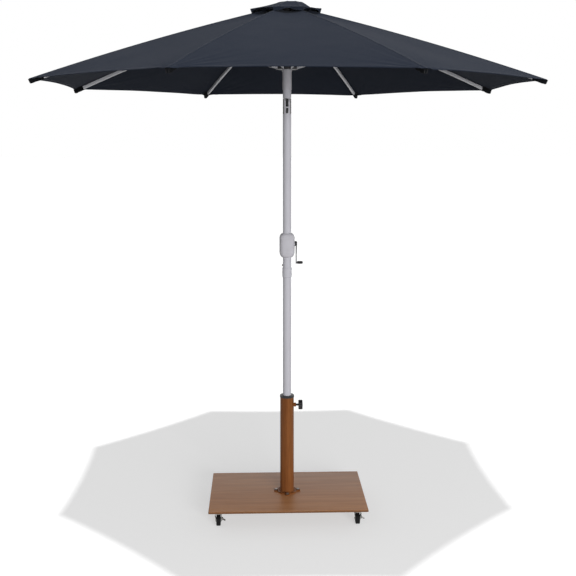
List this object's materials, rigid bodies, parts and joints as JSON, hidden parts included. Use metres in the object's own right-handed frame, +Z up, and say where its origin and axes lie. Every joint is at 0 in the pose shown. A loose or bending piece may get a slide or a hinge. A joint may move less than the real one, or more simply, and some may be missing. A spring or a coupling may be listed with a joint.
{
  "type": "patio umbrella with base",
  "caption": "Octagonal crank-lift market umbrella with a push-button tilt, on a flat steel base plate with locking casters and a mast clamp knob.",
  "frame": {"origin": "on the floor under the casters, on the mast's axis", "axes": "+Z up along the mast, -Y towards the front, +X towards the crank and the clamp knob"},
  "size_m": [2.1174, 2.1174, 2.3543],
  "materials": {
    "plate_paint": "satin brown paint over steel plate",
    "wood_paint": "wood-look brown powder coat over steel",
    "steel": "zinc-plated",
    "mast_paint": "silver-grey paint over aluminium tube",
    "silver_plastic": "satin silver-grey plastic",
    "arm_steel": "plated",
    "black_plastic": "matt black",
    "cloth": "slate grey polyester",
    "rib_paint": "silver-grey paint",
    "caster_chrome": "bright",
    "caster_rubber": "black",
    "caster_steel": "plated"
  },
  "bodies": {
    "base": {"base_plate": "plate_paint", "foot_flange": "wood_paint", "flange_bolts": "steel", "base_tube": "wood_paint", "tube_bushing": "black_plastic", "knob_boss": "wood_paint", "caster_stems": "steel"},
    "knob": {"clamp_knob": "black_plastic"},
    "pole": {"lower_pole": "mast_paint", "upper_pole": "mast_paint", "crank_housing_front": "silver_plastic", "crank_housing_back": "silver_plastic", "housing_screws": "steel", "tilt_socket": "mast_paint", "tilt_pin": "steel", "tilt_covers": "black_plastic"},
    "snap": {"snap_button": "mast_paint"},
    "crank": {"cord_spool": "black_plastic", "crank_cap": "black_plastic", "crank_arm": "arm_steel"},
    "grip": {"crank_grip": "black_plastic"},
    "tilt_release": {"tilt_button": "silver_plastic"},
    "head": {"tilt_knuckle": "black_plastic", "mast_head": "mast_paint", "crown_hub": "black_plastic", "crown_ring": "steel", "crown_cap": "black_plastic", "canopy": "cloth", "vent_canopy": "cloth"},
    "runner": {"runner_hub": "black_plastic", "runner_ring": "steel", "runner_sleeve": "mast_paint"},
    "rib_1": {"rib_1": "rib_paint"},
    "strut_1": {"strut_1": "rib_paint"},
    "rib_2": {"rib_2": "rib_paint"},
    "strut_2": {"strut_2": "rib_paint"},
    "rib_3": {"rib_3": "rib_paint"},
    "strut_3": {"strut_3": "rib_paint"},
    "rib_4": {"rib_4": "rib_paint"},
    "strut_4": {"strut_4": "rib_paint"},
    "rib_5": {"rib_5": "rib_paint"},
    "strut_5": {"strut_5": "rib_paint"},
    "rib_6": {"rib_6": "rib_paint"},
    "strut_6": {"strut_6": "rib_paint"},
    "rib_7": {"rib_7": "rib_paint"},
    "strut_7": {"strut_7": "rib_paint"},
    "rib_8": {"rib_8": "rib_paint"},
    "strut_8": {"strut_8": "rib_paint"},
    "fork_1": {"caster_fork_1": "caster_chrome"},
    "wheel_1": {"caster_wheel_1": "caster_rubber"},
    "brake_1": {"caster_brake_1": "caster_steel"},
    "fork_2": {"caster_fork_2": "caster_chrome"},
    "wheel_2": {"caster_wheel_2": "caster_rubber"},
    "brake_2": {"caster_brake_2": "caster_steel"},
    "fork_3": {"caster_fork_3": "caster_chrome"},
    "wheel_3": {"caster_wheel_3": "caster_rubber"},
    "brake_3": {"caster_brake_3": "caster_steel"},
    "fork_4": {"caster_fork_4": "caster_chrome"},
    "wheel_4": {"caster_wheel_4": "caster_rubber"},
    "brake_4": {"caster_brake_4": "caster_steel"}
  },
  "joints": [
    {"name": "knob_turn", "type": "hinge", "parent": "base", "child": "knob", "pos_m": [0.053, 0, 0.496], "axis": [1, 0, 0], "range_deg": [0, 360]},
    {"name": "mast_turn", "type": "hinge", "parent": "base", "child": "pole", "pos_m": [0, 0, 0.3], "axis": [0, 0, 1], "continuous": true},
    {"name": "snap_press", "type": "slide", "parent": "pole", "child": "snap", "axis": [1, 0, 0], "range_m": [0, 0.005], "stiffness_N_per_m": 300},
    {"name": "runner_slide", "type": "slide", "parent": "head", "child": "runner", "axis": [0, 0, 1], "range_m": [-0.65553, 0], "deforming": ["canopy", "vent_canopy"]},
    {"name": "crank_turn", "type": "hinge", "parent": "pole", "child": "crank", "pos_m": [0.04, 0, 1.25104], "axis": [1, 0, 0], "range_deg": [-2881, 1]},
    {"name": "grip_spin", "type": "hinge", "parent": "crank", "child": "grip", "pos_m": [0.055, 0, 1.16304], "axis": [1, 0, 0], "continuous": true},
    {"name": "tilt", "type": "hinge", "parent": "pole", "child": "head", "pos_m": [0, 0, 1.899], "axis": [1, 0, 0], "range_deg": [0, 30]},
    {"name": "tilt_press", "type": "slide", "parent": "pole", "child": "tilt_release", "axis": [0, 1, 0], "range_m": [0, 0.003], "stiffness_N_per_m": 400},
    {"name": "rib_fold_1", "type": "hinge", "parent": "head", "child": "rib_1", "pos_m": [0.03696, 0.01531, 2.317], "axis": [-0.3827, 0.9239, 0], "range_deg": [-0.1, 67.8]},
    {"name": "strut_fold_1", "type": "hinge", "parent": "runner", "child": "strut_1", "pos_m": [0.03696, 0.01531, 2.05757], "axis": [0.3827, -0.9239, 0], "range_deg": [-0.1, 67.8]},
    {"name": "rib_fold_2", "type": "hinge", "parent": "head", "child": "rib_2", "pos_m": [0.01531, 0.03696, 2.317], "axis": [-0.9239, 0.3827, 0], "range_deg": [-0.1, 67.8]},
    {"name": "strut_fold_2", "type": "hinge", "parent": "runner", "child": "strut_2", "pos_m": [0.01531, 0.03696, 2.05757], "axis": [0.9239, -0.3827, 0], "range_deg": [-0.1, 67.8]},
    {"name": "rib_fold_3", "type": "hinge", "parent": "head", "child": "rib_3", "pos_m": [-0.01531, 0.03696, 2.317], "axis": [-0.9239, -0.3827, 0], "range_deg": [-0.1, 67.8]},
    {"name": "strut_fold_3", "type": "hinge", "parent": "runner", "child": "strut_3", "pos_m": [-0.01531, 0.03696, 2.05757], "axis": [0.9239, 0.3827, 0], "range_deg": [-0.1, 67.8]},
    {"name": "rib_fold_4", "type": "hinge", "parent": "head", "child": "rib_4", "pos_m": [-0.03696, 0.01531, 2.317], "axis": [-0.3827, -0.9239, 0], "range_deg": [-0.1, 67.8]},
    {"name": "strut_fold_4", "type": "hinge", "parent": "runner", "child": "strut_4", "pos_m": [-0.03696, 0.01531, 2.05757], "axis": [0.3827, 0.9239, 0], "range_deg": [-0.1, 67.8]},
    {"name": "rib_fold_5", "type": "hinge", "parent": "head", "child": "rib_5", "pos_m": [-0.03696, -0.01531, 2.317], "axis": [0.3827, -0.9239, 0], "range_deg": [-0.1, 67.8]},
    {"name": "strut_fold_5", "type": "hinge", "parent": "runner", "child": "strut_5", "pos_m": [-0.03696, -0.01531, 2.05757], "axis": [-0.3827, 0.9239, 0], "range_deg": [-0.1, 67.8]},
    {"name": "rib_fold_6", "type": "hinge", "parent": "head", "child": "rib_6", "pos_m": [-0.01531, -0.03696, 2.317], "axis": [0.9239, -0.3827, 0], "range_deg": [-0.1, 67.8]},
    {"name": "strut_fold_6", "type": "hinge", "parent": "runner", "child": "strut_6", "pos_m": [-0.01531, -0.03696, 2.05757], "axis": [-0.9239, 0.3827, 0], "range_deg": [-0.1, 67.8]},
    {"name": "rib_fold_7", "type": "hinge", "parent": "head", "child": "rib_7", "pos_m": [0.01531, -0.03696, 2.317], "axis": [0.9239, 0.3827, 0], "range_deg": [-0.1, 67.8]},
    {"name": "strut_fold_7", "type": "hinge", "parent": "runner", "child": "strut_7", "pos_m": [0.01531, -0.03696, 2.05757], "axis": [-0.9239, -0.3827, 0], "range_deg": [-0.1, 67.8]},
    {"name": "rib_fold_8", "type": "hinge", "parent": "head", "child": "rib_8", "pos_m": [0.03696, -0.01531, 2.317], "axis": [0.3827, 0.9239, 0], "range_deg": [-0.1, 67.8]},
    {"name": "strut_fold_8", "type": "hinge", "parent": "runner", "child": "strut_8", "pos_m": [0.03696, -0.01531, 2.05757], "axis": [-0.3827, -0.9239, 0], "range_deg": [-0.1, 67.8]},
    {"name": "caster_swivel_1", "type": "hinge", "parent": "base", "child": "fork_1", "pos_m": [-0.313, -0.179, 0.062], "axis": [0, 0, 1], "continuous": true},
    {"name": "wheel_spin_1", "type": "hinge", "parent": "fork_1", "child": "wheel_1", "pos_m": [-0.313, -0.163, 0.024], "axis": [1, 0, 0], "continuous": true},
    {"name": "brake_lift_1", "type": "hinge", "parent": "fork_1", "child": "brake_1", "pos_m": [-0.2963, -0.167, 0.032], "axis": [0, -1, 0], "range_deg": [0, 40]},
    {"name": "caster_swivel_2", "type": "hinge", "parent": "base", "child": "fork_2", "pos_m": [0.313, -0.179, 0.062], "axis": [0, 0, 1], "continuous": true},
    {"name": "wheel_spin_2", "type": "hinge", "parent": "fork_2", "child": "wheel_2", "pos_m": [0.313, -0.163, 0.024], "axis": [1, 0, 0], "continuous": true},
    {"name": "brake_lift_2", "type": "hinge", "parent": "fork_2", "child": "brake_2", "pos_m": [0.3297, -0.167, 0.032], "axis": [0, -1, 0], "range_deg": [0, 40]},
    {"name": "caster_swivel_3", "type": "hinge", "parent": "base", "child": "fork_3", "pos_m": [-0.313, 0.179, 0.062], "axis": [0, 0, 1], "continuous": true},
    {"name": "wheel_spin_3", "type": "hinge", "parent": "fork_3", "child": "wheel_3", "pos_m": [-0.313, 0.195, 0.024], "axis": [1, 0, 0], "continuous": true},
    {"name": "brake_lift_3", "type": "hinge", "parent": "fork_3", "child": "brake_3", "pos_m": [-0.2963, 0.191, 0.032], "axis": [0, -1, 0], "range_deg": [0, 40]},
    {"name": "caster_swivel_4", "type": "hinge", "parent": "base", "child": "fork_4", "pos_m": [0.313, 0.179, 0.062], "axis": [0, 0, 1], "continuous": true},
    {"name": "wheel_spin_4", "type": "hinge", "parent": "fork_4", "child": "wheel_4", "pos_m": [0.313, 0.195, 0.024], "axis": [1, 0, 0], "continuous": true},
    {"name": "brake_lift_4", "type": "hinge", "parent": "fork_4", "child": "brake_4", "pos_m": [0.3297, 0.191, 0.032], "axis": [0, -1, 0], "range_deg": [0, 40]}
  ],
  "couplings": [
    {"joint": "crank_turn", "follows": "runner_slide", "rad_per_m": 76.679},
    {"joint": "rib_fold_1", "follows": "runner_slide", "rad_per_m": -1.8004},
    {"joint": "strut_fold_1", "follows": "runner_slide", "rad_per_m": -1.8004},
    {"joint": "rib_fold_2", "follows": "runner_slide", "rad_per_m": -1.8004},
    {"joint": "strut_fold_2", "follows": "runner_slide", "rad_per_m": -1.8004},
    {"joint": "rib_fold_3", "follows": "runner_slide", "rad_per_m": -1.8004},
    {"joint": "strut_fold_3", "follows": "runner_slide", "rad_per_m": -1.8004},
    {"joint": "rib_fold_4", "follows": "runner_slide", "rad_per_m": -1.8004},
    {"joint": "strut_fold_4", "follows": "runner_slide", "rad_per_m": -1.8004},
    {"joint": "rib_fold_5", "follows": "runner_slide", "rad_per_m": -1.8004},
    {"joint": "strut_fold_5", "follows": "runner_slide", "rad_per_m": -1.8004},
    {"joint": "rib_fold_6", "follows": "runner_slide", "rad_per_m": -1.8004},
    {"joint": "strut_fold_6", "follows": "runner_slide", "rad_per_m": -1.8004},
    {"joint": "rib_fold_7", "follows": "runner_slide", "rad_per_m": -1.8004},
    {"joint": "strut_fold_7", "follows": "runner_slide", "rad_per_m": -1.8004},
    {"joint": "rib_fold_8", "follows": "runner_slide", "rad_per_m": -1.8004},
    {"joint": "strut_fold_8", "follows": "runner_slide", "rad_per_m": -1.8004}
  ]
}
